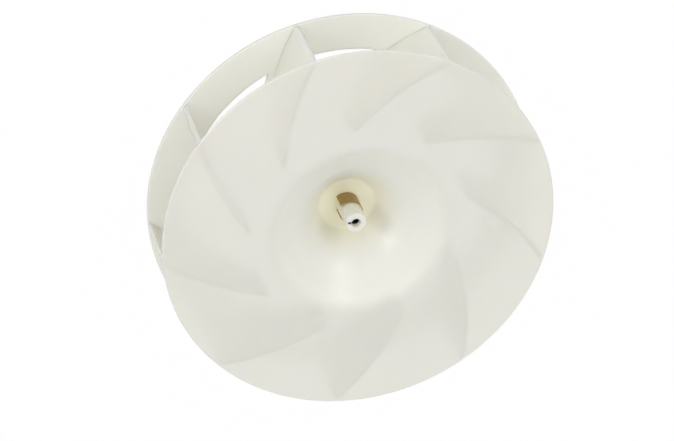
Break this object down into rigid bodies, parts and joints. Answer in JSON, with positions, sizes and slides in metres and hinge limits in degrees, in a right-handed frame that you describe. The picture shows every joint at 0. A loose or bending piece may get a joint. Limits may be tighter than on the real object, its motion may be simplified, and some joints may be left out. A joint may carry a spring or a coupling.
{
  "type": "refrigerator centrifugal fan wheel with shaft clip",
  "caption": "Milky plastic centrifugal fan wheel: a round plate with a bell-shaped hub, backward-curved blades, a shroud ring round the inlet and a spring clip on the shaft boss.",
  "frame": {"origin": "on the wheel's axis, in the plane of the shroud ring's outer face, which the wheel rests on", "axes": "+Z along the wheel's axis, from the air inlet to the hub plate; +X is a fixed direction across the wheel, 29 degrees from the slot in the boss, that slot being towards -X and +Y"},
  "size_m": [0.14, 0.14, 0.0297],
  "materials": {
    "milky_plastic": "natural milky polypropylene, slightly see-through, satin moulded skin",
    "clip_bronze": "phosphor bronze spring strip, dull brown"
  },
  "bodies": {
    "root": {"hub_plate": "milky_plastic", "shroud_ring": "milky_plastic", "shaft_clip": "clip_bronze"}
  },
  "joints": []
}
